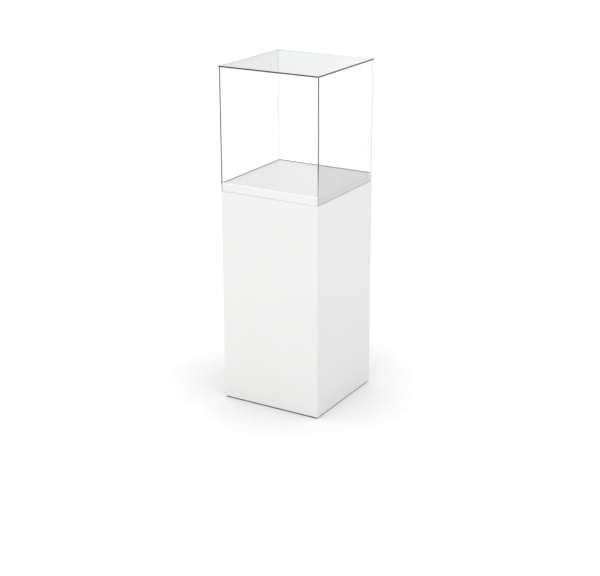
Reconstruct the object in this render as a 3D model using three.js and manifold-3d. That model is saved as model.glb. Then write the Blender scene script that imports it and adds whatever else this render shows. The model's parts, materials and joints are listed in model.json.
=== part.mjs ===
// Pedestal display case: a square white plinth of mitred boards, a raised deck, and a clear five-sided
// cover that stands on the ledge around the deck and lifts straight off.
// Millimetres, +Z up. The origin is on the floor under the middle of the case, and the front faces -Y.

import * as THREE from "three";
import { mergeVertices } from "three/addons/utils/BufferGeometryUtils.js";
import Module from "manifold-3d";

// The case as a whole
const caseWidth = 400; // along X, plinth and cover alike
const caseDepth = 400; // along Y
const ledgeHeight = 800; // floor to the ledge that the cover stands on
const coverHeight = 450; // ledge to the top of the cover
const deckRise = 30; // ledge to the top of the deck

// Cover
const paneThickness = 5;
const cementLine = 0.1; // between bonded panes
const coverSeat = 0.3; // under the cover's foot
const coverClearance = 1; // between the deck's sides and the walls of the cover

// Plinth boards
const panelThickness = 18;
const panelArris = 1.5; // radius of the plinth's upright edges
const subTopThickness = 18;
const bottomThickness = 18;
const battenSize = 30; // square corner battens
const cleatHeight = 12;
const cleatWidth = 20;
const glueLine = 0.2; // between boards

// Base strips, set back under the panels
const baseHeight = 6;
const baseRecess = 4;
const baseWidth = 30;
const baseArris = 0.8;

// Countersunk screws
const deckScrewDiameter = 4.5;
const deckScrewCover = 9; // deck left above a screw's tip
const deckScrewFromBatten = 10; // from the corner battens to the corner screws
const stripScrewDiameter = 3.5;
const stripScrewCover = 2; // cleat left above a screw's tip
const stripScrewFromEnd = 80; // from the case's corner
const screwFit = 0.2; // around a screw in its hole
const screwSink = 0.3; // heads lie this far inside the face
const screwSides = 16;

// Levelling feet
const footTravel = 12;
const footLift = 0.8; // pads clear of the floor when wound right in
const footPadDiameter = 30;
const footPadHeight = 7;
const footPadChamfer = 1;
const footPadBossDiameter = 16;
const footSocketDepth = 5;
const footBallDiameter = 8;
const footBallSteps = 6; // facets from the ball's foot to the hexagon
const footFit = 0.3; // stud in its socket
const studDiameter = 8;
const studThreadEnd = 1; // chamfer on the stud's tip
const studSpare = 2; // thread beyond the tee nut at full travel
const collarAcrossFlats = 13;
const collarHeight = 5;
const collarGap = 0.5; // between the pad and the stud's hexagon
const teeNutBarrelDiameter = 10.4;
const teeNutBarrelLength = 12;
const teeNutFlangeDiameter = 22;
const teeNutFlangeThickness = 1.5;
const teeNutThreadFit = 0.3; // around the stud
const teeNutHoleFit = 0.2; // around the barrel
const flangeClearance = 1; // between a tee nut's flange and the corner batten
const padClearance = 8; // between a pad and the base strips
const footSides = 24;
const holeOverrun = 1; // a hole's cutter runs this far past both faces

// Heights that follow
const panelFoot = baseHeight + glueLine;
const bottomFoot = panelFoot + cleatHeight + glueLine;
const bottomTop = bottomFoot + bottomThickness;
const subTopFoot = ledgeHeight - subTopThickness;
const deckFoot = ledgeHeight + glueLine;
const deckTop = ledgeHeight + deckRise;
const coverTop = ledgeHeight + coverHeight;

// Lengths that follow
const deckScrewLength = subTopThickness + deckRise - deckScrewCover - screwSink;
const stripScrewLength = panelFoot + cleatHeight - stripScrewCover - screwSink;

// The room inside the side panels, and where the feet stand in it
const insideWidth = caseWidth - 2 * (panelThickness + glueLine);
const insideDepth = caseDepth - 2 * (panelThickness + glueLine);
const battenEdge = panelThickness + glueLine + battenSize;
const footInset = Math.max(
  battenEdge + flangeClearance + teeNutFlangeDiameter / 2,
  baseRecess + baseWidth + padClearance + footPadDiameter / 2,
);

// The four sides. Each is built as the front is and turned into place: length runs along the side and
// reach is from the middle of the case to its outer face. Front and rear lap over the ends of the others.
const sides = [
  { name: "front", turn: 0, length: caseWidth, reach: caseDepth / 2, laps: true },
  { name: "right", turn: Math.PI / 2, length: caseDepth, reach: caseWidth / 2, laps: false },
  { name: "rear", turn: Math.PI, length: caseWidth, reach: caseDepth / 2, laps: true },
  { name: "left", turn: -Math.PI / 2, length: caseDepth, reach: caseWidth / 2, laps: false },
];

const corners = [
  { name: "front_left", x: -1, y: -1 },
  { name: "front_right", x: 1, y: -1 },
  { name: "rear_left", x: -1, y: 1 },
  { name: "rear_right", x: 1, y: 1 },
];

const footPlaces = corners.map(({ name, x, y }) => ({
  name,
  x: x * (caseWidth / 2 - footInset),
  y: y * (caseDepth / 2 - footInset),
}));

const finish = (color, roughness, metalness = 0, more = {}) =>
  new THREE.MeshStandardMaterial({ color, roughness, metalness, ...more });

const finishes = {
  lacquer: finish(0xf4f4f3, 0.38),
  acrylic: finish(0xf3f8f8, 0.05, 0, { transparent: true, opacity: 0.22 }),
  board: finish(0xb99c74, 0.8),
  pine: finish(0xd9bd8c, 0.75),
  baseStrip: finish(0x2a2b2d, 0.55),
  zinc: finish(0xb9bcc0, 0.35, 0.9),
  nylon: finish(0x232426, 0.6),
};

const wasm = await Module();
wasm.setup();

function toSolid(geometry) {
  const bare = geometry.clone();
  bare.deleteAttribute("normal");
  bare.deleteAttribute("uv");
  const merged = mergeVertices(bare);
  const vertProperties = new Float32Array(merged.attributes.position.array);
  const triVerts = new Uint32Array(merged.index.array);
  return new wasm.Manifold(new wasm.Mesh({ numProp: 3, vertProperties, triVerts }));
}

function toGeometry(solid) {
  const mesh = solid.getMesh();
  const geometry = new THREE.BufferGeometry();
  geometry.setAttribute("position", new THREE.BufferAttribute(mesh.vertProperties, 3));
  geometry.setIndex(new THREE.BufferAttribute(mesh.triVerts, 1));
  geometry.computeVertexNormals();
  return geometry;
}

function cut(geometry, cutters) {
  const solid = cutters.reduce((left, cutter) => left.subtract(toSolid(cutter)), toSolid(geometry));
  return toGeometry(solid);
}

function join(first, second) {
  return toGeometry(toSolid(first).add(toSolid(second)));
}

// A rectangular board whose lower face is centred on the origin
function board(width, depth, height) {
  return new THREE.BoxGeometry(width, depth, height).translate(0, 0, height / 2);
}

// A plan drawn in X and Y and raised along Z
function raised(plan, height, curveSegments = 4) {
  return new THREE.ExtrudeGeometry(plan, { depth: height, bevelEnabled: false, curveSegments });
}

// A profile of [radius, height] points, from the foot of the piece to its top, turned about Z
function turned(profile, segments) {
  const points = profile.map(([radius, height]) => new THREE.Vector2(radius, height));
  return new THREE.LatheGeometry(points, segments).rotateX(Math.PI / 2);
}

function place(parent, name, geometry, material, x = 0, y = 0, z = 0) {
  const mesh = new THREE.Mesh(geometry, material);
  mesh.name = name;
  mesh.position.set(x, y, z);
  parent.add(mesh);
}

// Plan of one side of a mitred ring, `inset` in from the outer face of the case and `width` deep. Its outer
// corners are rounded, and each mitre stands half a glue line back.
function mitredPlan(side, inset, width, arris) {
  const outerY = inset - side.reach;
  const halfLength = side.length / 2 - inset;
  const innerX = halfLength - width - (glueLine / 2) * Math.SQRT2;
  const arcX = halfLength - arris;
  const arcY = outerY + arris;
  const arcStart = (Math.PI * 3) / 4 - Math.asin(glueLine / 2 / arris);
  const plan = new THREE.Shape();
  plan.moveTo(innerX, outerY + width);
  plan.lineTo(-innerX, outerY + width);
  plan.absarc(-arcX, arcY, arris, -arcStart, -Math.PI / 2, false);
  plan.absarc(arcX, arcY, arris, -Math.PI / 2, arcStart - Math.PI, false);
  plan.closePath();
  return plan;
}

// A countersunk screw that points up, with its head's face at height 0. A fit makes it the cutter of its
// own hole, which runs out through the face that the head is sunk into.
function screw(diameter, length, fit = 0) {
  const radius = diameter / 2 + fit;
  const headRadius = diameter + fit;
  const tipLength = diameter;
  const foot = fit > 0 ? -screwSink - holeOverrun : 0;
  return turned(
    [
      [0, foot],
      [headRadius, foot],
      [headRadius, fit],
      [radius, fit + headRadius - radius],
      [radius, length - tipLength + fit],
      [0, length + fit],
    ],
    screwSides,
  );
}

// Three by three without the middle one
function deckScrewPlaces() {
  const x = caseWidth / 2 - battenEdge - deckScrewFromBatten;
  const y = caseDepth / 2 - battenEdge - deckScrewFromBatten;
  const grid = [-1, 0, 1].flatMap((row) => [-1, 0, 1].map((column) => [column * x, row * y]));
  return grid.filter(([placeX, placeY]) => placeX !== 0 || placeY !== 0);
}

function deckScrewHoles(foot) {
  const z = subTopFoot + screwSink - foot;
  return deckScrewPlaces().map(([x, y]) =>
    screw(deckScrewDiameter, deckScrewLength, screwFit).translate(x, y, z),
  );
}

function addPlinthSide(plinth, side) {
  const frame = new THREE.Group();
  frame.rotation.z = side.turn;
  plinth.add(frame);

  const panel = raised(mitredPlan(side, 0, panelThickness, panelArris), ledgeHeight - panelFoot);
  place(frame, `${side.name}_panel`, panel, finishes.lacquer, 0, 0, panelFoot);

  const cleatEnd = panelThickness + glueLine + (side.laps ? 0 : cleatWidth + glueLine);
  const cleatY = panelThickness + glueLine + cleatWidth / 2 - side.reach;
  const screwY = (panelThickness + baseRecess + baseWidth) / 2 - side.reach;
  const screwPlaces = [-1, 1].map((way) => way * (side.length / 2 - stripScrewFromEnd));
  const holes = (foot, y) =>
    screwPlaces.map((x) =>
      screw(stripScrewDiameter, stripScrewLength, screwFit).translate(x, screwY - y, screwSink - foot),
    );

  const cleatBar = board(side.length - 2 * cleatEnd, cleatWidth, cleatHeight);
  const cleat = cut(cleatBar, holes(panelFoot, cleatY));
  place(frame, `${side.name}_cleat`, cleat, finishes.pine, 0, cleatY, panelFoot);

  const strip = raised(mitredPlan(side, baseRecess, baseWidth, baseArris), baseHeight);
  place(frame, `${side.name}_base_strip`, cut(strip, holes(0, 0)), finishes.baseStrip);

  screwPlaces.forEach((x, index) => {
    const name = `${side.name}_strip_screw_${index + 1}`;
    place(frame, name, screw(stripScrewDiameter, stripScrewLength), finishes.zinc, x, screwY, screwSink);
  });
}

function addPlinthInside(plinth) {
  const subTop = board(insideWidth, insideDepth, subTopThickness);
  place(plinth, "sub_top", cut(subTop, deckScrewHoles(subTopFoot)), finishes.board, 0, 0, subTopFoot);

  const holeRadius = teeNutBarrelDiameter / 2 + teeNutHoleFit;
  const holeTop = bottomThickness + holeOverrun;
  const holeProfile = [
    [0, -holeOverrun],
    [holeRadius, -holeOverrun],
    [holeRadius, holeTop],
    [0, holeTop],
  ];
  const footHoles = footPlaces.map(({ x, y }) => turned(holeProfile, footSides).translate(x, y, 0));
  const bottom = cut(board(insideWidth, insideDepth, bottomThickness), footHoles);
  place(plinth, "bottom_panel", bottom, finishes.board, 0, 0, bottomFoot);

  const battenFoot = bottomTop + glueLine;
  const batten = board(battenSize, battenSize, subTopFoot - glueLine - battenFoot);
  for (const corner of corners) {
    const x = corner.x * (insideWidth - battenSize) / 2;
    const y = corner.y * (insideDepth - battenSize) / 2;
    place(plinth, `${corner.name}_batten`, batten, finishes.pine, x, y, battenFoot);
  }
}

function addDeck(plinth) {
  const inset = paneThickness + coverClearance;
  const deck = board(caseWidth - 2 * inset, caseDepth - 2 * inset, deckTop - deckFoot);
  place(plinth, "deck", cut(deck, deckScrewHoles(deckFoot)), finishes.lacquer, 0, 0, deckFoot);

  const deckScrew = screw(deckScrewDiameter, deckScrewLength);
  deckScrewPlaces().forEach(([x, y], index) => {
    place(plinth, `deck_screw_${index + 1}`, deckScrew, finishes.zinc, x, y, subTopFoot + screwSink);
  });
}

function addCover(group) {
  const wallFoot = ledgeHeight + coverSeat;
  const wallHeight = coverTop - paneThickness - cementLine - wallFoot;
  for (const side of sides) {
    const frame = new THREE.Group();
    frame.rotation.z = side.turn;
    group.add(frame);
    const end = side.laps ? 0 : paneThickness + cementLine;
    const wall = board(side.length - 2 * end, paneThickness, wallHeight);
    const wallY = paneThickness / 2 - side.reach;
    place(frame, `cover_${side.name}_pane`, wall, finishes.acrylic, 0, wallY, wallFoot);
  }
  const topPane = board(caseWidth, caseDepth, paneThickness);
  place(group, "cover_top_pane", topPane, finishes.acrylic, 0, 0, coverTop - paneThickness);
}

// A flange that bears on the bottom panel and a barrel that reaches down into it
function teeNut() {
  const bore = studDiameter / 2 + teeNutThreadFit;
  return turned(
    [
      [bore, -teeNutBarrelLength],
      [teeNutBarrelDiameter / 2, -teeNutBarrelLength],
      [teeNutBarrelDiameter / 2, 0],
      [teeNutFlangeDiameter / 2, 0],
      [teeNutFlangeDiameter / 2, teeNutFlangeThickness],
      [bore, teeNutFlangeThickness],
      [bore, -teeNutBarrelLength],
    ],
    footSides,
  );
}

const padTop = footLift + footPadHeight;
const socketFloor = padTop - footSocketDepth;

// A round foot with a socket for the stud's ball
function footPad() {
  const radius = footPadDiameter / 2;
  const bossRadius = footPadBossDiameter / 2;
  const socketRadius = footBallDiameter / 2 + footFit;
  const rimTop = footLift + footPadHeight / 2;
  return turned(
    [
      [0, footLift],
      [radius - footPadChamfer, footLift],
      [radius, footLift + footPadChamfer],
      [radius, rimTop - footPadChamfer],
      [radius - footPadChamfer, rimTop],
      [bossRadius, padTop],
      [socketRadius, padTop],
      [socketRadius, socketFloor],
      [0, socketFloor],
    ],
    footSides,
  );
}

// Ball, hexagon and thread in one
function footStud() {
  const ballRadius = footBallDiameter / 2;
  const ballCentre = socketFloor + footFit + ballRadius;
  const collarFoot = padTop + collarGap;
  const studRadius = studDiameter / 2;
  const studTop = bottomTop + teeNutFlangeThickness + footTravel + studSpare;
  const ballEnd = Math.asin((collarFoot - ballCentre) / ballRadius);
  const ball = Array.from({ length: footBallSteps }, (_, step) => {
    const angle = ((step + 1) / footBallSteps) * (ballEnd + Math.PI / 2) - Math.PI / 2;
    return [ballRadius * Math.cos(angle), ballCentre + ballRadius * Math.sin(angle)];
  });
  const stem = turned(
    [
      [0, ballCentre - ballRadius],
      ...ball,
      [studRadius, collarFoot + collarHeight / 2],
      [studRadius, studTop - studThreadEnd],
      [studRadius - studThreadEnd, studTop],
      [0, studTop],
    ],
    footSides,
  );
  const hexagon = new THREE.CylinderGeometry(1, 1, collarHeight, 6).rotateX(Math.PI / 2);
  const collarRadius = collarAcrossFlats / Math.sqrt(3);
  hexagon.scale(collarRadius, collarRadius, 1).translate(0, 0, collarFoot + collarHeight / 2);
  return join(stem, hexagon);
}

function addFeet(group) {
  const nut = teeNut();
  const pad = footPad();
  const stud = footStud();
  for (const { name, x, y } of footPlaces) {
    place(group, `${name}_tee_nut`, nut, finishes.zinc, x, y, bottomTop);
    place(group, `${name}_foot_pad`, pad, finishes.nylon, x, y);
    place(group, `${name}_foot_stud`, stud, finishes.zinc, x, y);
  }
}

const plinth = new THREE.Group();
sides.forEach((side) => addPlinthSide(plinth, side));
addPlinthInside(plinth);
addDeck(plinth);
addFeet(plinth);

const cover = new THREE.Group();
addCover(cover);

const displayCase = new THREE.Group();
displayCase.add(plinth, cover);

export default displayCase;
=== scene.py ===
import json
import math

import bmesh
import bpy
from mathutils import Matrix, Vector


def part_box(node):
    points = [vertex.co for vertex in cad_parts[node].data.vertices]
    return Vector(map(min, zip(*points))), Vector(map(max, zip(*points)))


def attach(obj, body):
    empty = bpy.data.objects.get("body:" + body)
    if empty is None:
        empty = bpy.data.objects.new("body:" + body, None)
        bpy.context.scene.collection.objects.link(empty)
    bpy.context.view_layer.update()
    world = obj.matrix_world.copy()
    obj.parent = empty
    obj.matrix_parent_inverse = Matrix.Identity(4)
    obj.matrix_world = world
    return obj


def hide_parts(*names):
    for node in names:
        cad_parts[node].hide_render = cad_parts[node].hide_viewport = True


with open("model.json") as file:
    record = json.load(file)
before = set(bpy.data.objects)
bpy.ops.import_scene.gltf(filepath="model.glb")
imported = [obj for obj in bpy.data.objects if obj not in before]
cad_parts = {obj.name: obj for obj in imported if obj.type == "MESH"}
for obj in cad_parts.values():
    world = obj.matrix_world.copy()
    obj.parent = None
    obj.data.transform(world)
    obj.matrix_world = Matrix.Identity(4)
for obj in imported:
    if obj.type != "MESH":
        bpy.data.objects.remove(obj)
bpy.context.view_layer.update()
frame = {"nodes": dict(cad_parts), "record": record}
bodyOf = {node: body for body, nodes in frame["record"]["behaviour"]["bodies"].items() for node in nodes}
mm = 0.001
print("frame loaded:", len(frame["nodes"]), "nodes")

# The camera stands in front of the case's right-hand corner and looks down a little. It was set
# against the photograph, which is 600 pixels wide.
cameraRig = {
    "place": (2.410, -4.058, 2.097),
    "turn": 30.27,  # degrees from looking along +Y
    "dip": 19.69,  # degrees below level
    "lens": 80.98,
    "sensor": 36,
    "shift": -0.0125,
}


def addCamera(rig):
    data = bpy.data.cameras.new("camera")
    data.lens = rig["lens"]
    data.sensor_width = rig["sensor"]
    data.shift_x = rig["shift"]
    camera = bpy.data.objects.new("camera", data)
    camera.location = rig["place"]
    camera.rotation_euler = (math.radians(90 - rig["dip"]), 0, math.radians(rig["turn"]))
    bpy.context.scene.collection.objects.link(camera)
    bpy.context.scene.camera = camera


addCamera(cameraRig)
bpy.context.scene.view_settings.view_transform = "Standard"
print("camera placed")


def toLinear(hexColour):
    channels = [int(hexColour[i:i + 2], 16) / 255 for i in (1, 3, 5)]
    return (*[c / 12.92 if c <= 0.04045 else ((c + 0.055) / 1.055) ** 2.4 for c in channels], 1)


def addNode(tree, kind, sockets=None, **settings):
    node = tree.nodes.new("ShaderNode" + kind)
    for name, value in settings.items():
        setattr(node, name, value)
    for name, value in (sockets or {}).items():
        if isinstance(value, bpy.types.NodeSocket):
            tree.links.new(value, node.inputs[name])
        else:
            node.inputs[name].default_value = value
    return node


def newMaterial(name):
    material = bpy.data.materials.new(name)
    material.use_nodes = True
    material.node_tree.nodes.clear()
    return material, material.node_tree


# The scale of a pattern whose grains are about size millimetres across
def perSize(size):
    return 1 / (size * mm)


# Polyurethane lacquer sprayed on fibreboard and flatted back: satin white, with the faint ripple of
# sprayed paint in its highlights and nothing else to catch the eye
lacquerLook = {
    "colour": "#f4f4f3",
    "colourLow": "#f0f0ef",  # where the coat is thinner
    "patch": 240,  # mm across the patches of thinner coat
    "roughness": (0.36, 0.44),
    "ior": 1.5,
    "peel": 5,  # mm; real orange peel is 1 to 3 mm, drawn coarser so that it shows at all
    "peelHeight": 0.02,  # mm
}


def sprayedLacquer(look):
    material, tree = newMaterial("sprayedSatinLacquer")
    place = addNode(tree, "TexCoord").outputs["Object"]
    patches = addNode(tree, "TexNoise", {"Vector": place, "Scale": perSize(look["patch"]), "Detail": 3})
    colour = addNode(tree, "Mix", {
        "Factor": patches.outputs["Fac"], 6: toLinear(look["colourLow"]), 7: toLinear(look["colour"]),
    }, data_type="RGBA")
    low, high = look["roughness"]
    rough = addNode(tree, "MapRange", {"Value": patches.outputs["Fac"], "To Min": low, "To Max": high})
    peel = addNode(tree, "TexNoise", {"Vector": place, "Scale": perSize(look["peel"]), "Detail": 1})
    bump = addNode(tree, "Bump", {
        "Height": peel.outputs["Fac"], "Strength": 1, "Distance": look["peelHeight"] * mm,
    })
    surface = addNode(tree, "BsdfPrincipled", {
        "Base Color": colour.outputs[2], "Roughness": rough.outputs[0], "IOR": look["ior"],
        "Normal": bump.outputs[0],
    })
    addNode(tree, "OutputMaterial", {"Surface": surface.outputs[0]})
    return material


# Cast acrylic sheet, polished both sides: seen square on it all but vanishes, and at a slant it
# passes less light and mirrors more. Light on its way to the case passes as if it fell square on,
# which is simpler than the real sheet.
acrylicLook = {
    "clear": "#ffffff",
    "slant": "#e2e3e3",
    "slantFrom": 0.187,  # facing of a sheet, 0 square on and 1 edge on; set against the photograph
    "slantTo": 0.823,
    "mirror": "#f7f7f7",
    "roughness": 0.02,
    "square": 0.04,  # share mirrored square on, from the refractive index of 1.49
    "rise": 5,  # power by which that share grows towards edge on
}


def polishedAcrylic(look):
    material, tree = newMaterial("polishedCastAcrylic")
    path = addNode(tree, "LightPath")
    lighting = addNode(tree, "Math", {0: path.outputs["Is Shadow Ray"], 1: path.outputs["Is Diffuse Ray"]},
                       operation="MAXIMUM")
    looking = addNode(tree, "Math", {0: 1, 1: lighting.outputs[0]}, operation="SUBTRACT")
    facing = addNode(tree, "LayerWeight", {"Blend": 0.5}).outputs["Facing"]
    slant = addNode(tree, "Math", {0: facing, 1: looking.outputs[0]}, operation="MULTIPLY").outputs[0]
    depth = addNode(tree, "MapRange", {
        "Value": slant, "From Min": look["slantFrom"], "From Max": look["slantTo"],
    })
    tint = addNode(tree, "Mix", {
        "Factor": depth.outputs[0], 6: toLinear(look["clear"]), 7: toLinear(look["slant"]),
    }, data_type="RGBA")
    gloss = addNode(tree, "Math", {0: slant, 1: look["rise"]}, operation="POWER")
    share = addNode(tree, "Math", {0: gloss.outputs[0], 1: 1 - look["square"], 2: look["square"]},
                    operation="MULTIPLY_ADD")
    through = addNode(tree, "BsdfTransparent", {"Color": tint.outputs[2]})
    mirror = addNode(tree, "BsdfAnisotropic", {
        "Color": toLinear(look["mirror"]), "Roughness": look["roughness"],
    })
    surface = addNode(tree, "MixShader", {
        0: share.outputs[0], 1: through.outputs[0], 2: mirror.outputs[0],
    })
    addNode(tree, "OutputMaterial", {"Surface": surface.outputs[0]})
    return material


# The sheet's ends. Sawn and scraped ones look dark from outside, because the eye looks down the
# length of the sheet; that darkness is painted shade in their colour. Their paler part by the deck is
# painted light, to match the photograph's own view, where the white deck stands behind it. Polished
# ends are only a little grey; set cement is a frosted white.
endLook = {
    "sawn": "#26282a",
    "sawnByDeck": "#bcbebe",
    "fade": 6,  # mm below the top of the deck over which the one turns into the other
    "fadeByDeck": 130,  # mm above it, on the sheet that stands before the deck
    "sawnRoughness": 0.4,
    "polished": "#ededed",
    "polishedShare": 0.12,
    "polishedShine": "#9aa0a2",
    "polishedRoughness": (0.04, 0.12),
    "flameWave": 9,  # mm between the ripples that the flame leaves
    "cement": "#fbfcfc",
    "cementThin": "#f3f5f5",  # where the cement ran thin
    "cementCloud": 3,  # mm
    "cementRoughness": 0.6,
    "sawMark": 0.8,  # mm across a saw mark
    "sawBump": (0.3, 0.05),  # strength, and height in mm
    "cementBump": (0.2, 0.05),
    "ior": 1.49,
}


# A sawn end with painted shade: dark above the deck, and painted pale lower down
def sawnAcrylicEnd(look, name, deckTop, fadeTop):
    material, tree = newMaterial(name)
    place = addNode(tree, "TexCoord").outputs["Object"]
    height = addNode(tree, "SeparateXYZ", {"Vector": place}).outputs["Z"]
    # 0 low down, where the end is painted pale; 1 higher up, where it is painted dark
    clear = addNode(tree, "MapRange", {
        "Value": height, "From Min": deckTop - look["fade"] * mm, "From Max": fadeTop,
    }, interpolation_type="SMOOTHSTEP")
    colour = addNode(tree, "Mix", {
        "Factor": clear.outputs[0], 6: toLinear(look["sawnByDeck"]), 7: toLinear(look["sawn"]),
    }, data_type="RGBA")
    marks = addNode(tree, "TexNoise", {"Vector": place, "Scale": perSize(look["sawMark"]), "Detail": 2})
    strength, depth = look["sawBump"]
    bump = addNode(tree, "Bump", {
        "Height": marks.outputs["Fac"], "Strength": strength, "Distance": depth * mm,
    })
    surface = addNode(tree, "BsdfPrincipled", {
        "Base Color": colour.outputs[2], "Roughness": look["sawnRoughness"], "IOR": look["ior"],
        "Normal": bump.outputs[0],
    })
    addNode(tree, "OutputMaterial", {"Surface": surface.outputs[0]})
    return material


def polishedAcrylicEnd(look):
    material, tree = newMaterial("flamePolishedAcrylicEnd")
    place = addNode(tree, "TexCoord").outputs["Object"]
    ripples = addNode(tree, "TexNoise", {"Vector": place, "Scale": perSize(look["flameWave"]), "Detail": 2})
    low, high = look["polishedRoughness"]
    rough = addNode(tree, "MapRange", {"Value": ripples.outputs["Fac"], "To Min": low, "To Max": high})
    through = addNode(tree, "BsdfTransparent", {"Color": toLinear(look["polished"])})
    mirror = addNode(tree, "BsdfAnisotropic", {
        "Color": toLinear(look["polishedShine"]), "Roughness": rough.outputs[0],
    })
    surface = addNode(tree, "MixShader", {
        0: look["polishedShare"], 1: through.outputs[0], 2: mirror.outputs[0],
    })
    addNode(tree, "OutputMaterial", {"Surface": surface.outputs[0]})
    return material


def setCement(look):
    material, tree = newMaterial("setAcrylicCement")
    place = addNode(tree, "TexCoord").outputs["Object"]
    clouds = addNode(tree, "TexNoise", {"Vector": place, "Scale": perSize(look["cementCloud"]), "Detail": 3})
    colour = addNode(tree, "Mix", {
        "Factor": clouds.outputs["Fac"], 6: toLinear(look["cementThin"]), 7: toLinear(look["cement"]),
    }, data_type="RGBA")
    strength, depth = look["cementBump"]
    bump = addNode(tree, "Bump", {
        "Height": clouds.outputs["Fac"], "Strength": strength, "Distance": depth * mm,
    })
    surface = addNode(tree, "BsdfPrincipled", {
        "Base Color": colour.outputs[2], "Roughness": look["cementRoughness"], "IOR": look["ior"],
        "Normal": bump.outputs[0],
    })
    addNode(tree, "OutputMaterial", {"Surface": surface.outputs[0]})
    return material


# Medium-density fibreboard, sanded: a flat brown with fine dark and pale fibres and no grain
fibreboardLook = {
    "dark": "#9c7f58",
    "pale": "#c3a57b",
    "fibre": 1.6,  # mm
    "cloud": 35,  # mm
    "blend": (0.12, 0.42),  # noise at which the board is darkest and palest
    "roughness": 0.82,
    "bump": (0.4, 0.1),  # strength, and height in mm
}


def sandedFibreboard(look):
    material, tree = newMaterial("sandedFibreboard")
    place = addNode(tree, "TexCoord").outputs["Object"]
    fibres = addNode(tree, "TexNoise", {"Vector": place, "Scale": perSize(look["fibre"]), "Detail": 4})
    clouds = addNode(tree, "TexNoise", {"Vector": place, "Scale": perSize(look["cloud"]), "Detail": 2})
    blend = addNode(tree, "Math", {0: fibres.outputs["Fac"], 1: clouds.outputs["Fac"]}, operation="MULTIPLY")
    low, high = look["blend"]
    share = addNode(tree, "MapRange", {"Value": blend.outputs[0], "From Min": low, "From Max": high})
    colour = addNode(tree, "Mix", {
        "Factor": share.outputs[0], 6: toLinear(look["dark"]), 7: toLinear(look["pale"]),
    }, data_type="RGBA")
    strength, depth = look["bump"]
    bump = addNode(tree, "Bump", {
        "Height": fibres.outputs["Fac"], "Strength": strength, "Distance": depth * mm,
    })
    surface = addNode(tree, "BsdfPrincipled", {
        "Base Color": colour.outputs[2], "Roughness": look["roughness"], "Normal": bump.outputs[0],
    })
    addNode(tree, "OutputMaterial", {"Surface": surface.outputs[0]})
    return material


# Planed pine: pale yellow sapwood with darker bands of late wood along the length
pineLook = {
    "sapwood": "#dcc193",
    "lateWood": "#b98d53",
    "ring": 7,  # mm between bands, about
    "stretch": 14,  # how much longer a figure is than it is wide
    "offset": (0.013, 0.021, 0.017),  # m, so that the figure isn't centred on the case
    "waver": 5,  # how far the bands stray
    "waverScale": 0.4,
    "lateEdge": 2.5,  # power that narrows the dark bands
    "roughness": 0.62,
    "bump": (0.3, 0.1),  # strength, and height in mm
}


def planedPine(look, along):
    material, tree = newMaterial("planedPineAlong" + "XYZ"[along])
    place = addNode(tree, "TexCoord").outputs["Object"]
    scale = [1.0, 1.0, 1.0]
    scale[along] = 1 / look["stretch"]
    grain = addNode(tree, "Mapping", {"Vector": place, "Scale": scale, "Location": look["offset"]})
    rings = addNode(tree, "TexWave", {
        "Vector": grain.outputs[0], "Scale": perSize(look["ring"]) / 2, "Distortion": look["waver"],
        "Detail": 3, "Detail Scale": look["waverScale"],
    }, wave_type="BANDS", bands_direction="DIAGONAL")
    late = addNode(tree, "Math", {0: rings.outputs["Fac"], 1: look["lateEdge"]}, operation="POWER")
    colour = addNode(tree, "Mix", {
        "Factor": late.outputs[0], 6: toLinear(look["sapwood"]), 7: toLinear(look["lateWood"]),
    }, data_type="RGBA")
    strength, depth = look["bump"]
    bump = addNode(tree, "Bump", {"Height": late.outputs[0], "Strength": strength, "Distance": depth * mm})
    surface = addNode(tree, "BsdfPrincipled", {
        "Base Color": colour.outputs[2], "Roughness": look["roughness"], "Normal": bump.outputs[0],
    })
    addNode(tree, "OutputMaterial", {"Surface": surface.outputs[0]})
    return material


# Extruded PVC strip: near black and satin, with fine drawn lines along its length
stripLook = {
    "colour": "#303235",
    "scuff": "#484b4e",
    "line": 0.9,  # mm between drawn lines
    "drawn": 0.02,  # how much the lines change along the strip, against across it
    "scuffSize": 22,  # mm
    "worn": (0.55, 0.8),  # noise at which a scuff starts and is full
    "roughness": (0.42, 0.58),
    "bump": (0.4, 0.05),  # strength, and height in mm
}


def extrudedPvc(look):
    material, tree = newMaterial("extrudedBlackPvc")
    place = addNode(tree, "TexCoord").outputs["Object"]
    drawn = addNode(tree, "Mapping", {"Vector": place, "Scale": (look["drawn"], look["drawn"], 1)})
    lines = addNode(tree, "TexNoise", {
        "Vector": drawn.outputs[0], "Scale": perSize(look["line"]), "Detail": 2,
    })
    scuffs = addNode(tree, "TexNoise", {
        "Vector": place, "Scale": perSize(look["scuffSize"]), "Detail": 6, "Roughness": 0.7,
    })
    starts, full = look["worn"]
    worn = addNode(tree, "MapRange", {"Value": scuffs.outputs["Fac"], "From Min": starts, "From Max": full})
    colour = addNode(tree, "Mix", {
        "Factor": worn.outputs[0], 6: toLinear(look["colour"]), 7: toLinear(look["scuff"]),
    }, data_type="RGBA")
    low, high = look["roughness"]
    rough = addNode(tree, "MapRange", {"Value": scuffs.outputs["Fac"], "To Min": low, "To Max": high})
    strength, depth = look["bump"]
    bump = addNode(tree, "Bump", {
        "Height": lines.outputs["Fac"], "Strength": strength, "Distance": depth * mm,
    })
    surface = addNode(tree, "BsdfPrincipled", {
        "Base Color": colour.outputs[2], "Roughness": rough.outputs[0], "Normal": bump.outputs[0],
    })
    addNode(tree, "OutputMaterial", {"Surface": surface.outputs[0]})
    return material


# Bright zinc plate on turned and rolled steel: silver with a cold cast and cloudy patches
zincLook = {
    "bright": "#c9ccd0",
    "cloudy": "#a9adb0",
    "cloud": 4,  # mm
    "roughness": (0.24, 0.42),
}


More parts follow.
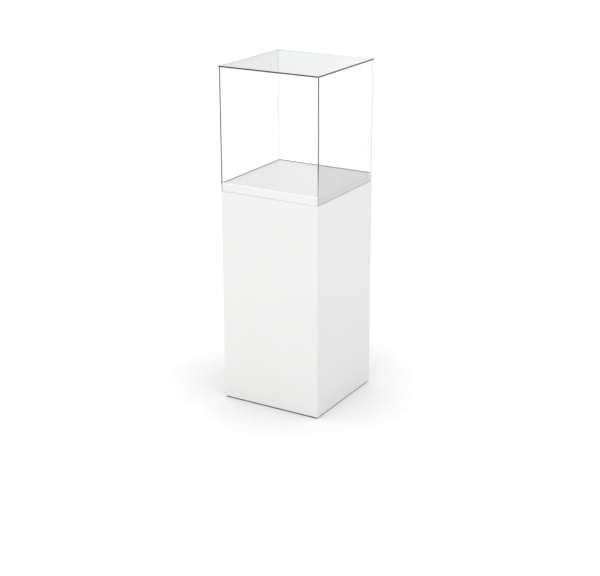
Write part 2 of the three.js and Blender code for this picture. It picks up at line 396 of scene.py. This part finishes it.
def zincPlate(look):
    material, tree = newMaterial("brightZincPlate")
    place = addNode(tree, "TexCoord").outputs["Object"]
    clouds = addNode(tree, "TexNoise", {"Vector": place, "Scale": perSize(look["cloud"]), "Detail": 3})
    colour = addNode(tree, "Mix", {
        "Factor": clouds.outputs["Fac"], 6: toLinear(look["bright"]), 7: toLinear(look["cloudy"]),
    }, data_type="RGBA")
    low, high = look["roughness"]
    rough = addNode(tree, "MapRange", {"Value": clouds.outputs["Fac"], "To Min": low, "To Max": high})
    surface = addNode(tree, "BsdfPrincipled", {
        "Base Color": colour.outputs[2], "Roughness": rough.outputs[0], "Metallic": 1,
    })
    addNode(tree, "OutputMaterial", {"Surface": surface.outputs[0]})
    return material


# Moulded glass-filled nylon: black with the fine grain of a spark-eroded mould
nylonLook = {
    "colour": "#1f2022",
    "grainTop": "#2b2c2e",
    "grain": 0.9,  # mm; a spark-eroded grain is finer, drawn coarser so that it shows
    "roughness": 0.55,
    "bump": (0.5, 0.1),  # strength, and height in mm
}


def mouldedNylon(look):
    material, tree = newMaterial("mouldedBlackNylon")
    place = addNode(tree, "TexCoord").outputs["Object"]
    grain = addNode(tree, "TexNoise", {"Vector": place, "Scale": perSize(look["grain"]), "Detail": 2})
    colour = addNode(tree, "Mix", {
        "Factor": grain.outputs["Fac"], 6: toLinear(look["colour"]), 7: toLinear(look["grainTop"]),
    }, data_type="RGBA")
    strength, depth = look["bump"]
    bump = addNode(tree, "Bump", {
        "Height": grain.outputs["Fac"], "Strength": strength, "Distance": depth * mm,
    })
    surface = addNode(tree, "BsdfPrincipled", {
        "Base Color": colour.outputs[2], "Roughness": look["roughness"], "Normal": bump.outputs[0],
    })
    addNode(tree, "OutputMaterial", {"Surface": surface.outputs[0]})
    return material


# Woven pile tape, grey pile on a white backing: a reading of the grey line round the deck. The pile's
# grey is painted shade, the shade line where the deck meets the cover's walls; the backing is white.
sealAndShadeLook = {
    "pile": "#88898b",
    "backing": "#fcfcfc",
    "tuft": 0.8,  # mm
    "shade": (0.92, 1.06),  # of the colour, from tuft to tuft
    "roughness": 0.95,
    "gloss": 0.1,
}


def wovenPile(look, colour, name):
    material, tree = newMaterial(name)
    place = addNode(tree, "TexCoord").outputs["Object"]
    tufts = addNode(tree, "TexNoise", {"Vector": place, "Scale": perSize(look["tuft"]), "Detail": 3})
    low, high = look["shade"]
    shade = addNode(tree, "MapRange", {"Value": tufts.outputs["Fac"], "To Min": low, "To Max": high})
    dyed = addNode(tree, "Mix", {"Factor": 1, 6: toLinear(colour), 7: shade.outputs[0]},
                   data_type="RGBA", blend_type="MULTIPLY")
    surface = addNode(tree, "BsdfPrincipled", {
        "Base Color": dyed.outputs[2], "Roughness": look["roughness"], "Specular IOR Level": look["gloss"],
    })
    addNode(tree, "OutputMaterial", {"Surface": surface.outputs[0]})
    return material


lacquer = sprayedLacquer(lacquerLook)
acrylic = polishedAcrylic(acrylicLook)
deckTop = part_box("deck")[1].z
sawnEndPaintedShade = sawnAcrylicEnd(endLook, "sawnAcrylicEnd", deckTop, deckTop)
fadeTop = deckTop + endLook["fadeByDeck"] * mm
sawnEndPaintedPaleByDeck = sawnAcrylicEnd(endLook, "sawnAcrylicEndByDeck", deckTop, fadeTop)
polishedEnd = polishedAcrylicEnd(endLook)
cement = setCement(endLook)
fibreboard = sandedFibreboard(fibreboardLook)
pine = [planedPine(pineLook, along) for along in range(3)]
pvc = extrudedPvc(stripLook)
zinc = zincPlate(zincLook)
nylon = mouldedNylon(nylonLook)
pile = wovenPile(sealAndShadeLook, sealAndShadeLook["pile"], "wovenPileGrey")
backing = wovenPile(sealAndShadeLook, sealAndShadeLook["backing"], "wovenPileBacking")
print("materials made:", len(bpy.data.materials))


# Turns a finished bmesh into a mesh; edges steeper than the sharp angle, in degrees, stay crisp
def asMesh(name, bm, materials, sharpAngle=35):
    bmesh.ops.recalc_face_normals(bm, faces=bm.faces)
    mesh = bpy.data.meshes.new(name)
    bm.to_mesh(mesh)
    bm.free()
    for material in materials:
        mesh.materials.append(material)
    mesh.shade_smooth()
    mesh.set_sharp_from_angle(angle=math.radians(sharpAngle))
    return mesh


# Links a mesh as a piece that rides with its node's body
def linkPiece(name, mesh, body, place=None):
    piece = bpy.data.objects.new(name, mesh)
    piece.matrix_world = place or Matrix.Identity(4)
    bpy.context.scene.collection.objects.link(piece)
    weighted = piece.modifiers.new("evenShading", "WEIGHTED_NORMAL")
    weighted.keep_sharp = True
    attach(piece, body)
    return piece


def addPiece(name, bm, materials, body):
    return linkPiece(name, asMesh(name, bm, materials), body)


def toCamel(node):
    first, *rest = node.split("_")
    return first + "".join(word.capitalize() for word in rest)


# A closed block raised from an outline of points in X and Y
def raiseOutline(bm, outline, foot, top):
    low = [bm.verts.new((x, y, foot)) for x, y in outline]
    high = [bm.verts.new((x, y, top)) for x, y in outline]
    count = len(outline)
    bm.faces.new(list(reversed(low)))
    bm.faces.new(high)
    for i in range(count):
        j = (i + 1) % count
        bm.faces.new((low[i], low[j], high[j], high[i]))


cornerAngle = math.radians(40)  # an edge steeper than this is a corner


def roundCorners(bm, radius, steps, keep):
    edges = [e for e in bm.edges if e.calc_face_angle(0) > cornerAngle and keep(e)]
    bmesh.ops.bevel(bm, geom=edges, offset=radius, segments=steps, profile=0.5, affect="EDGES",
                    clamp_overlap=True)


def turnPoint(x, y, turn):
    cos, sin = round(math.cos(turn)), round(math.sin(turn))
    return x * cos - y * sin, x * sin + y * cos


# Panels: mitred boards with an eased upright edge and finely eased ends
panelForm = {
    "thickness": 18 * mm,
    "arris": 1.8 * mm,  # on the upright corners
    "edge": 0.7 * mm,  # on the top and bottom edges
    "glue": 0.2 * mm,
    "arcSteps": 6,
    "edgeSteps": 3,
}
sideTurns = {"front": 0, "right": math.pi / 2, "rear": math.pi, "left": -math.pi / 2}


# Half of a mitred side, seen with its outer face towards -Y, from the middle of the outer face to the
# middle of the inner one
def mitredOutline(reach, form):
    width, arris, steps = form["thickness"], form["arris"], form["arcSteps"]
    arcX, arcY = reach - arris, arris - reach
    points = []
    for step in range(steps + 1):
        angle = -math.pi / 2 + step / steps * math.pi / 4
        points.append((arcX + arris * math.cos(angle), arcY + arris * math.sin(angle)))
    back = form["glue"] / 2 * math.sqrt(2)
    points[-1] = (points[-1][0] - back, points[-1][1])
    points.append((reach - width - back, width - reach))
    return [(-x, y) for x, y in reversed(points)] + points


def addPanels(form):
    for side, turn in sideTurns.items():
        node = side + "_panel"
        low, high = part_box(node)
        reach = max(abs(c) for c in (low.x, low.y, high.x, high.y))
        bm = bmesh.new()
        raiseOutline(bm, [turnPoint(x, y, turn) for x, y in mitredOutline(reach, form)], low.z, high.z)
        roundCorners(bm, form["edge"], form["edgeSteps"],
                     lambda e: abs(e.verts[0].co.z - e.verts[1].co.z) < mm)
        panel = addPiece(toCamel(node), bm, [lacquer], bodyOf[node])
        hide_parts(node)


addPanels(panelForm)
print("plinth panels made")


# Boards: how far each kind is eased, and how they are made whole
boardEdges = {"deck": 1.0 * mm, "fibreboard": 0.4 * mm, "pine": 0.8 * mm, "strip": 0.5 * mm}
boardForm = {
    "weld": 0.001 * mm,  # points nearer than this become one
    "flat": math.radians(1),  # faces that meet flatter than this become one
    "steps": 2,
    "deckSteps": 4,
    "shortest": 5 * mm,  # an edge shorter than this, as round a screw hole, stays sharp
    "shortestWide": 50 * mm,  # the same on the deck, the sub-top and the bottom panel
}
caseCorners = ("front_left", "front_right", "rear_left", "rear_right")


# A copy of a board from the frame with flat faces made whole and its long edges eased
def easedCopy(node, material, edge, steps=boardForm["steps"],
              shortest=boardForm["shortest"], name=None):
    bm = bmesh.new()
    bm.from_mesh(frame["nodes"][node].data)
    bmesh.ops.remove_doubles(bm, verts=bm.verts, dist=boardForm["weld"])
    bmesh.ops.dissolve_limit(bm, angle_limit=boardForm["flat"], verts=bm.verts, edges=bm.edges)
    roundCorners(bm, edge, steps, lambda e: e.calc_length() > shortest)
    copy = addPiece(name or toCamel(node), bm, [material], bodyOf[node])
    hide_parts(node)


easedCopy("deck", lacquer, boardEdges["deck"], boardForm["deckSteps"],
          boardForm["shortestWide"], "deckBoard")
for board in ("sub_top", "bottom_panel"):
    easedCopy(board, fibreboard, boardEdges["fibreboard"], shortest=boardForm["shortestWide"])
for side, along in (("front", 0), ("right", 1), ("rear", 0), ("left", 1)):
    easedCopy(side + "_cleat", pine[along], boardEdges["pine"])
    easedCopy(side + "_base_strip", pvc, boardEdges["strip"])
for corner in caseCorners:
    easedCopy(corner + "_batten", pine[2], boardEdges["pine"])
print("boards, cleats, battens and base strips made")

# Seal: the pile tape stands in the joint round the deck and shows a little above it, pile inwards, so
# that its painted shade faces the deck
sealForm = {
    "thickness": 0.5 * mm,
    "clearance": 0.15 * mm,  # to the deck and to the cover's walls
    "above": 3.0 * mm,
    "below": 4 * mm,
}


def addSealWithPaintedShade(form):
    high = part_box("deck")[1]
    inner = high.x + form["clearance"]
    outer = inner + form["thickness"]
    foot, top = high.z - form["below"], high.z + form["above"]
    bm = bmesh.new()
    ring = [(-1, -1), (1, -1), (1, 1), (-1, 1)]
    rows = [[bm.verts.new((x * r, y * r, z)) for x, y in ring]
            for r, z in ((outer, foot), (outer, top), (inner, top), (inner, foot))]
    for row in range(4):
        here, after = rows[row], rows[(row + 1) % 4]
        for i in range(4):
            j = (i + 1) % 4
            face = bm.faces.new((here[i], here[j], after[j], after[i]))
            # the inner faces take the grey pile, which is painted shade
            face.material_index = 1 if row == 2 else 0
    addPiece("deckSeal", bm, [backing, pile], bodyOf["deck"])


addSealWithPaintedShade(sealForm)
print("deck seal made")

# Cover: five sheets. A side sheet's sawn ends are cemented behind the front and rear sheets; the top
# sheet's sawn edges show all round. A thin layer of white cement backs each sawn end.
coverForm = {
    "edge": 0.35 * mm,
    "edgeSteps": 2,
    "layer": 0.6 * mm,  # thickness of the end layer
    "gap": 0.05 * mm,  # between the sheet and its end layer
    "outside": 0.9,  # a layer's face that looks this much outwards is its sawn side
    "end": 0.3,  # a sheet's face that looks this much along an axis has that end's finish
}


def addBlock(bm, low, high, pick, edge=0):
    block = bmesh.ops.create_cube(bm, size=1)["verts"]
    size = high - low
    for vert in block:
        vert.co = Vector([low[i] + (vert.co[i] + 0.5) * size[i] for i in range(3)])
    faces = {face for vert in block for face in vert.link_faces}
    if edge:
        edges = {e for vert in block for e in vert.link_edges}
        rounded = bmesh.ops.bevel(bm, geom=list(edges), offset=edge, segments=coverForm["edgeSteps"],
                                  profile=0.5, affect="EDGES")
        faces = {f for f in faces if f.is_valid} | set(rounded["faces"])
    for face in faces:
        face.normal_update()
        face.material_index = pick(face)


# Along a sawn axis, each end of the sheet is a layer of its own: sawn outside, painted dark as shade,
# cement behind it. Along a polished or a frosted axis the sheet's ends show as they are.
def addSheet(node, sawn, sawnAxes, polishedAxes, frostedAxes, form):
    low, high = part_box(node)
    inset = form["layer"] + form["gap"]
    bm = bmesh.new()
    sheetLow, sheetHigh = low.copy(), high.copy()
    for axis in sawnAxes:
        sheetLow[axis] += inset
        sheetHigh[axis] -= inset
        for way in (-1, 1):
            layerLow, layerHigh = low.copy(), high.copy()
            if axis == 1 and 0 in sawnAxes:  # the layers meet at the corners without crossing
                layerLow.x += inset
                layerHigh.x -= inset
            if way < 0:
                layerHigh[axis] = low[axis] + form["layer"]
            else:
                layerLow[axis] = high[axis] - form["layer"]
            addBlock(bm, layerLow, layerHigh,
                     lambda f, a=axis, w=way: 1 if w * f.normal[a] > form["outside"] else 2)

    def pickFinish(face):
        for finish, axes in ((3, polishedAxes), (2, frostedAxes)):
            if any(abs(face.normal[axis]) > form["end"] for axis in axes):
                return finish
        return 0

    addBlock(bm, sheetLow, sheetHigh, pickFinish, form["edge"])
    sheet = addPiece(toCamel(node), bm, [acrylic, sawn, cement, polishedEnd], bodyOf[node])
    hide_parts(node)


for side in ("front", "rear"):
    addSheet(f"cover_{side}_pane", sawnEndPaintedShade, (), (0,), (2,), coverForm)
for side, sawn in (("left", sawnEndPaintedShade), ("right", sawnEndPaintedPaleByDeck)):
    addSheet(f"cover_{side}_pane", sawn, (1,), (), (2,), coverForm)
addSheet("cover_top_pane", sawnEndPaintedShade, (0, 1), (), (), coverForm)
print("cover made")


turnForm = {
    "rowsPerPitch": 6,  # rows of points to each turn of a thread
    "slack": mm / 10,  # how far past the thread's ends a line of the profile may reach
    "rounding": 1e-6,  # allowed for in comparing angles
}


# How far a cross recess reaches in a direction; its corners lie on 24 even steps round the screw
def crossReach(angle, arm):
    fromArm = abs((angle + math.pi / 4) % (math.pi / 2) - math.pi / 4)
    armEnd = math.pi / 12
    if fromArm <= armEnd + turnForm["rounding"]:
        return arm / math.cos(fromArm)
    return arm * math.tan(armEnd) / math.sin(fromArm)


# A turned form about Z. A profile row is (radius, height), or (half the width across flats, height,
# "hex") for a hexagon, or (arm, height, "cross"). The thread is a ridge that winds between two heights.
def turnProfile(bm, profile, sides, thread=None):
    rows = []
    for start, end in zip(profile, profile[1:] + [None]):
        rows.append(start)
        if not (thread and end) or min(start[1], end[1]) < thread["from"] - turnForm["slack"]:
            continue
        if max(start[1], end[1]) > thread["to"] + turnForm["slack"] or start[1] == end[1]:
            continue
        count = math.ceil(abs(end[1] - start[1]) / (thread["pitch"] / turnForm["rowsPerPitch"]))
        for k in range(1, count):
            share = k / count
            rows.append((start[0] + (end[0] - start[0]) * share, start[1] + (end[1] - start[1]) * share))
    rings = []
    for row in rows:
        radius, height = row[:2]
        if radius == 0:
            rings.append([bm.verts.new((0, 0, height))])
            continue
        ring = []
        for side in range(sides):
            angle = 2 * math.pi * side / sides
            reach = radius
            if "hex" in row:
                reach = radius / math.cos((angle + math.pi / 6) % (math.pi / 3) - math.pi / 6)
            elif "cross" in row:
                reach = crossReach(angle, radius)
            elif thread and thread["from"] <= height <= thread["to"]:
                groove = abs(2 * ((height / thread["pitch"] - side / sides) % 1) - 1)
                fade = min(height - thread["from"], thread["to"] - height) / thread["pitch"]
                reach += thread["way"] * thread["depth"] * groove * max(0, min(1, fade))
            ring.append(bm.verts.new((reach * math.cos(angle), reach * math.sin(angle), height)))
        rings.append(ring)
    pairs = list(zip(rings, rings[1:]))
    if len(rings[0]) > 1:
        pairs.append((rings[-1], rings[0]))
    for lower, upper in pairs:
        for i in range(sides):
            j = (i + 1) % sides
            below = [lower[i % len(lower)], lower[j % len(lower)]]
            above = [upper[j % len(upper)], upper[i % len(upper)]]
            bm.faces.new(list(dict.fromkeys(below + above)))


# Countersunk chipboard screws with a cross recess; they point up, and the head's face is at height 0
screwForms = {
    "deck": {"diameter": 4.5 * mm, "pitch": 2.2 * mm, "thread": 26 * mm},
    "strip": {"diameter": 3.5 * mm, "pitch": 1.6 * mm, "thread": 10 * mm},
}
screwShape = {
    "sides": 24,
    "core": 0.68,  # share of the thread's radius
    "neck": 0.8,  # share of the thread's radius, under the head
    "bevel": 0.15 * mm,
    "rim": 0.3 * mm,  # height at which the head starts to narrow
    "runOut": 0.2 * mm,  # from the neck down to the core
    "tip": 0.6,  # share of the tip that has no thread
}
recessForm = {"arm": 0.3, "depth": 0.275, "taper": 0.62}  # shares of the head's diameter, and of the arm


def screwMesh(name, form, length):
    radius = form["diameter"] / 2
    head = form["diameter"]
    core, neck = radius * screwShape["core"], radius * screwShape["neck"]
    bevel, rim = screwShape["bevel"], screwShape["rim"]
    tip = form["diameter"]
    shank = length - form["thread"]
    arm, depth = recessForm["arm"] * 2 * head, recessForm["depth"] * 2 * head
    bm = bmesh.new()
    profile = [
        (0, depth), (arm * recessForm["taper"], depth, "cross"), (arm, 0, "cross"),
        (head - bevel, 0), (head, bevel), (head, rim), (neck, rim + head - radius), (neck, shank),
        (core, shank + screwShape["runOut"]), (core, length - tip), (0, length),
    ]
    thread = {
        "from": shank, "to": length - tip * screwShape["tip"], "pitch": form["pitch"],
        "depth": radius - core, "way": 1,
    }
    turnProfile(bm, profile, screwShape["sides"], thread)
    return asMesh(name, bm, [zinc])


screwMeshes = {}
for node in frame["nodes"]:
    if "screw" not in node:
        continue
    kind = "deck" if node.startswith("deck") else "strip"
    low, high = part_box(node)
    if kind not in screwMeshes:
        screwMeshes[kind] = screwMesh(kind + "Screw", screwForms[kind], high.z - low.z)
    centre = (low + high) / 2
    screw = linkPiece(toCamel(node), screwMeshes[kind], bodyOf[node],
                      Matrix.Translation((centre.x, centre.y, low.z)))
    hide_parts(node)
print("screws made")

# Levelling feet: an M8 stud with a ball and a hexagon, a moulded pad with the ball's socket, and the
# tee nut that the stud is wound into
footSides = 48
footSharpAngle = 30
studForm = {
    "pitch": 1.25 * mm,
    "threadRadius": 4 * mm,
    "threadDepth": 0.6 * mm,
    "tip": 1 * mm,  # chamfer at the top
    "groove": 0.86,  # share of the thread's radius, above the hexagon
    "grooveHeight": 1 * mm,
    "grooveRise": 1.2 * mm,  # height at which the thread's full radius starts
    "flats": 13 * mm,
    "flatsBevel": 0.5 * mm,
    "flatsRound": 0.98,  # radius of the hexagon's round ends, as a share of half its flats
    "ball": 8 * mm,
    "ballSteps": 8,
    "collar": 5 * mm,
    "collarGap": 0.5 * mm,
}


def studMesh(form, low, high, padTop):
    ball = form["ball"] / 2
    centre = low.z + ball
    collarFoot = padTop + form["collarGap"]
    collarTop = collarFoot + form["collar"]
    neck = math.asin(min(1, (collarFoot - centre) / ball))
    profile = [(0, low.z)]
    for step in range(1, form["ballSteps"] + 1):
        angle = -math.pi / 2 + step / form["ballSteps"] * (neck + math.pi / 2)
        profile.append((ball * math.cos(angle), centre + ball * math.sin(angle)))
    flats, bevel, thread, tip = form["flats"] / 2, form["flatsBevel"], form["threadRadius"], form["tip"]
    rounded, groove = flats * form["flatsRound"], thread * form["groove"]
    grooveTop = collarTop + form["grooveHeight"]
    profile += [
        (rounded, collarFoot), (flats, collarFoot + bevel, "hex"),
        (flats, collarTop - bevel, "hex"), (rounded, collarTop),
        (groove, collarTop), (groove, grooveTop), (thread, collarTop + form["grooveRise"]),
        (thread, high.z - tip), (thread - tip, high.z), (0, high.z),
    ]
    bm = bmesh.new()
    turnProfile(bm, profile, footSides, {
        "from": grooveTop, "to": high.z, "pitch": form["pitch"], "depth": form["threadDepth"], "way": -1,
    })
    return asMesh("footStud", bm, [zinc], footSharpAngle)


padForm = {
    "boss": 16 * mm,
    "bossSlope": (1.2 * mm, 1.3 * mm),  # outwards, and down from the top
    "bossBevel": 0.5 * mm,
    "socket": 8.6 * mm,
    "socketDepth": 5 * mm,
    "socketBevel": 0.3 * mm,
    "rimRadius": 0.9 * mm,
    "rimSteps": 4,
    "hollow": (4 * mm, 4.4 * mm),  # radius of the hollow under the pad, at its roof and at its mouth
    "hollowDepth": 0.4 * mm,
    "rings": (7.2 * mm, 10.4 * mm),  # radius of each grip ring under the pad
    "ringHalves": (0.4 * mm, 0.6 * mm),  # half of a ring's width, at its roof and at its mouth
    "ringDepth": 0.5 * mm,
}


def padMesh(form, low, high):
    radius = (high.x - low.x) / 2
    rim = (low.z + high.z) / 2
    boss, socket = form["boss"] / 2, form["socket"] / 2
    r, steps = form["rimRadius"], form["rimSteps"]
    roof, mouth = form["hollow"]
    profile = [(0, low.z + form["hollowDepth"]), (roof, low.z + form["hollowDepth"]), (mouth, low.z)]
    narrow, wide = form["ringHalves"]
    ringRoof = low.z + form["ringDepth"]
    for ring in form["rings"]:
        profile += [(ring - wide, low.z), (ring - narrow, ringRoof),
                    (ring + narrow, ringRoof), (ring + wide, low.z)]
    for centre, first in (((radius - r, low.z + r), -90), ((radius - r, rim - r), 0)):
        for step in range(steps + 1):
            angle = math.radians(first + step * 90 / steps)
            profile.append((centre[0] + r * math.cos(angle), centre[1] + r * math.sin(angle)))
    slopeOut, slopeDown = form["bossSlope"]
    socketFoot = high.z - form["socketDepth"]
    profile += [
        (boss + slopeOut, high.z - slopeDown), (boss, high.z - form["bossBevel"]),
        (boss - form["bossBevel"], high.z), (socket + form["socketBevel"], high.z),
        (socket, high.z - form["socketBevel"]), (socket, socketFoot), (0, socketFoot),
    ]
    bm = bmesh.new()
    turnProfile(bm, profile, footSides)
    return asMesh("footPad", bm, [nylon], footSharpAngle)


teeNutForm = {
    "bore": 4.3 * mm,  # radius
    "barrel": 5.2 * mm,  # radius
    "flange": 1.5 * mm,
    "bevel": 0.3 * mm,
    "mouth": 0.5 * mm,  # bevel where the stud goes in
    "prongs": 4,
    "prongFrom": 2.2 * mm,  # in from the flange's edge
    "prongTo": 1.0 * mm,
    "prongHalf": 1.6 * mm,  # half of a prong's width
    "prongPoint": 1.6 * mm,  # in from the flange's edge too
    "prongLength": 7 * mm,
}


def teeNutMesh(form, low, high):
    bore, barrel, bevel, mouth = form["bore"], form["barrel"], form["bevel"], form["mouth"]
    flange = (high.x - low.x) / 2
    face = high.z - form["flange"]
    profile = [
        (bore + bevel, low.z), (barrel - bevel, low.z), (barrel, low.z + bevel), (barrel, face),
        (flange - bevel, face), (flange, face + bevel), (flange, high.z - bevel),
        (flange - bevel, high.z), (bore + mouth, high.z), (bore, high.z - mouth), (bore, low.z + bevel),
    ]
    bm = bmesh.new()
    turnProfile(bm, profile, footSides)
    inner, outer, half = flange - form["prongFrom"], flange - form["prongTo"], form["prongHalf"]
    spike = [(inner, -half, face), (outer, -half, face), (outer, half, face), (inner, half, face)]
    tip = Vector((flange - form["prongPoint"], 0, face - form["prongLength"]))
    for prong in range(form["prongs"]):  # folded down from the flange into the board
        turn = Matrix.Rotation(math.pi / 4 + prong * math.pi / 2, 4, "Z")
        base = [bm.verts.new(turn @ Vector(p)) for p in spike]
        point = bm.verts.new(turn @ tip)
        bm.faces.new(base)
        for i in range(4):
            bm.faces.new((base[i], point, base[(i + 1) % 4]))
    return asMesh("teeNut", bm, [zinc], footSharpAngle)


footMeshes = {}
for corner in caseCorners:
    for kind, slot in (("foot_pad", "nylon"), ("foot_stud", "zinc"), ("tee_nut", "zinc")):
        node = f"{corner}_{kind}"
        low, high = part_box(node)
        if kind not in footMeshes and kind == "foot_pad":
            footMeshes[kind] = padMesh(padForm, low, high)
        elif kind not in footMeshes and kind == "foot_stud":
            footMeshes[kind] = studMesh(studForm, low, high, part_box(f"{corner}_foot_pad")[1].z)
        elif kind not in footMeshes:
            footMeshes[kind] = teeNutMesh(teeNutForm, low, high)
        centre = (low + high) / 2
        piece = linkPiece(toCamel(node), footMeshes[kind], bodyOf[node],
                          Matrix.Translation((centre.x, centre.y, 0)))
        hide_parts(node)
print("levelling feet made")

# Studio: a pale floor and surroundings. The eye, mirrors and clear sheet see them brighter than they
# light the case, so the ground is white and still holds the case's shadow. Near the case the floor's
# glow is dimmer and its colour darker: painted shade.
studio = {
    "floorColour": "#d6d6d6",
    "floorLift": (0.48, 0.75),  # near the case and far from it
    "floorFar": (0.35, 1.6),  # m over which the one turns into the other
    "floorReach": 0.8,  # m from the case at which it still shades the floor
    "floorShade": 0.88,  # share of the floor's colour that the deepest shade takes
    "floorRadius": 60,
    "floorSides": 64,
    "skyColour": "#ffffff",
    "skyLight": (0.84, 0.66),  # at the horizon and overhead
    "skySeen": 1.22,  # over 1, which makes up for what the cover's sheets take away
    "softBox": {"from": (-0.14, 0.97, 0.2), "angle": 20, "edge": 1.5, "glow": 0.1},
    "key": {"from": (-0.1, -0.95, 0.2), "strength": 1.22, "angle": 50},
    "fill": {"from": (0.93, 0.1, 0.2), "strength": 0.77, "angle": 50},
}


# How far a ray is one that the eye sees by: from the camera, off gloss or through clear sheet
def seenShare(tree):
    path = addNode(tree, "LightPath")
    glossy = addNode(tree, "Math", {0: path.outputs["Is Camera Ray"], 1: path.outputs["Is Glossy Ray"]},
                     operation="MAXIMUM")
    return addNode(tree, "Math", {0: glossy.outputs[0], 1: path.outputs["Is Transmission Ray"]},
                   operation="MAXIMUM").outputs[0]


def addFloor(look):
    material, tree = newMaterial("paintedFloor")
    place = addNode(tree, "TexCoord").outputs["Object"]
    distance = addNode(tree, "VectorMath", {0: place}, operation="LENGTH").outputs["Value"]
    fromCase, farOff = look["floorFar"]
    dimByShade, bright = look["floorLift"]
    # painted shade: the glow is dimmer near the case
    level = addNode(tree, "MapRange", {
        "Value": distance, "From Min": fromCase, "From Max": farOff, "To Min": dimByShade, "To Max": bright,
    })
    lift = addNode(tree, "Math", {0: seenShare(tree), 1: level.outputs[0]}, operation="MULTIPLY")
    glow = addNode(tree, "Emission", {"Color": (1, 1, 1, 1), "Strength": lift.outputs[0]})
    # painted shade: an ambient-occlusion node darkens the floor's colour near the case
    near = addNode(tree, "AmbientOcclusion", {"Distance": look["floorReach"]}, samples=8)
    shade = addNode(tree, "MapRange", {"Value": near.outputs["AO"], "To Min": 1 - look["floorShade"]})
    colour = addNode(tree, "Mix", {
        "Factor": 1, 6: toLinear(look["floorColour"]), 7: shade.outputs[0],
    }, data_type="RGBA", blend_type="MULTIPLY")
    paint = addNode(tree, "BsdfDiffuse", {"Color": colour.outputs[2]})
    surface = addNode(tree, "AddShader", {0: paint.outputs[0], 1: glow.outputs[0]})
    addNode(tree, "OutputMaterial", {"Surface": surface.outputs[0]})
    bm = bmesh.new()
    bmesh.ops.create_circle(bm, cap_ends=True, radius=look["floorRadius"], segments=look["floorSides"])
    mesh = bpy.data.meshes.new("floor")
    bm.to_mesh(mesh)
    bm.free()
    mesh.materials.append(material)
    floor = bpy.data.objects.new("floor", mesh)
    bpy.context.scene.collection.objects.link(floor)


def addSky(look):
    world = bpy.data.worlds.new("studio")
    world.use_nodes = True
    tree = world.node_tree
    tree.nodes.clear()
    colour = toLinear(look["skyColour"])
    box = look["softBox"]
    direction = addNode(tree, "TexCoord").outputs["Generated"]
    towards = addNode(tree, "VectorMath", {0: direction, 1: Vector(box["from"]).normalized()},
                      operation="DOT_PRODUCT")
    level = addNode(tree, "MapRange", {
        "Value": towards.outputs["Value"],
        "From Min": math.cos(math.radians(box["angle"] + box["edge"])),
        "From Max": math.cos(math.radians(box["angle"] - box["edge"])),
        "To Min": look["skySeen"],
        "To Max": look["skySeen"] + box["glow"],
    })
    horizon, zenith = look["skyLight"]
    height = addNode(tree, "SeparateXYZ", {"Vector": direction}).outputs["Z"]
    dome = addNode(tree, "MapRange", {"Value": height, "To Min": horizon, "To Max": zenith})
    light = addNode(tree, "Background", {"Color": colour, "Strength": dome.outputs[0]})
    seen = addNode(tree, "Background", {"Color": colour, "Strength": level.outputs[0]})
    sky = addNode(tree, "MixShader", {0: seenShare(tree), 1: light.outputs[0], 2: seen.outputs[0]})
    addNode(tree, "OutputWorld", {"Surface": sky.outputs[0]})
    bpy.context.scene.world = world


lampDistance = 5  # m; a sun lamp's light doesn't depend on where it stands


# A far, wide lamp, so that the light is even and its shadows are soft
def addLamp(name, look):
    data = bpy.data.lights.new(name, "SUN")
    data.energy = look["strength"]
    data.angle = math.radians(look["angle"])
    lamp = bpy.data.objects.new(name, data)
    lamp.location = Vector(look["from"]) * lampDistance
    lamp.rotation_euler = Vector(look["from"]).to_track_quat("Z", "Y").to_euler()
    bpy.context.scene.collection.objects.link(lamp)


addFloor(studio)
addSky(studio)
addLamp("keyLamp", studio["key"])
addLamp("fillLamp", studio["fill"])
print("studio lit")
